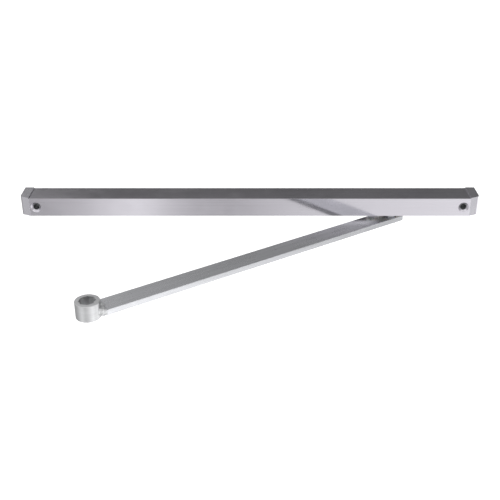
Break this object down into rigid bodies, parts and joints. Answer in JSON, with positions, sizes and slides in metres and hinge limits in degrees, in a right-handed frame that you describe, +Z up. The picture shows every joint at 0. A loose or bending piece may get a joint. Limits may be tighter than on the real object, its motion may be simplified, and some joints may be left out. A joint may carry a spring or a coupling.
{
  "type": "door closer slide track and arm",
  "caption": "Slide track and swing arm of a surface door closer: a slotted rail for the frame, with a shoe inside that the arm's pivot end rides on.",
  "frame": {"origin": "centre of the rail's flat back face, which lies against the wall or door frame: middle of the length and of the height", "axes": "+X runs along the rail, to the right as seen from the room; +Y points out of the back face, into the wall; +Z is up, away from the slot in the rail's underside"},
  "size_m": [0.44, 0.2007, 0.0319],
  "materials": {
    "anodised_rail": "satin, brushed along its length, clear anodised",
    "silver_plastic": "satin silver",
    "die_cast_zinc": "dull, as cast",
    "black_rubber": "matt",
    "white_acetal": "smooth, slightly waxy",
    "plated_steel": "bright zinc plate",
    "black_steel": "black oxide, oiled",
    "silver_arm": "satin silver with a fine grain"
  },
  "bodies": {
    "rail": {"rail_profile": "anodised_rail", "end_cap_right": "silver_plastic", "end_cap_left": "silver_plastic", "fixing_block_right": "die_cast_zinc", "fixing_block_left": "die_cast_zinc", "set_screw_right": "black_steel", "set_screw_left": "black_steel", "end_buffer_right": "black_rubber", "end_buffer_left": "black_rubber"},
    "slider": {"slide_shoe": "white_acetal", "pivot_stud": "plated_steel", "thrust_washer": "white_acetal", "retaining_washer": "plated_steel", "pivot_circlip": "black_steel"},
    "arm": {"arm_bar": "silver_arm", "pivot_bush": "plated_steel", "arm_eye": "silver_arm", "eye_weld": "silver_arm"}
  },
  "joints": [
    {"name": "shoe_slide", "type": "slide", "parent": "rail", "child": "slider", "axis": [1, 0, 0], "range_m": [-0.299, 0.025]},
    {"name": "arm_pivot", "type": "hinge", "parent": "slider", "child": "arm", "pos_m": [0.137, -0.013, -0.016], "axis": [0, 0, 1], "range_deg": [-29, 141.5]}
  ]
}
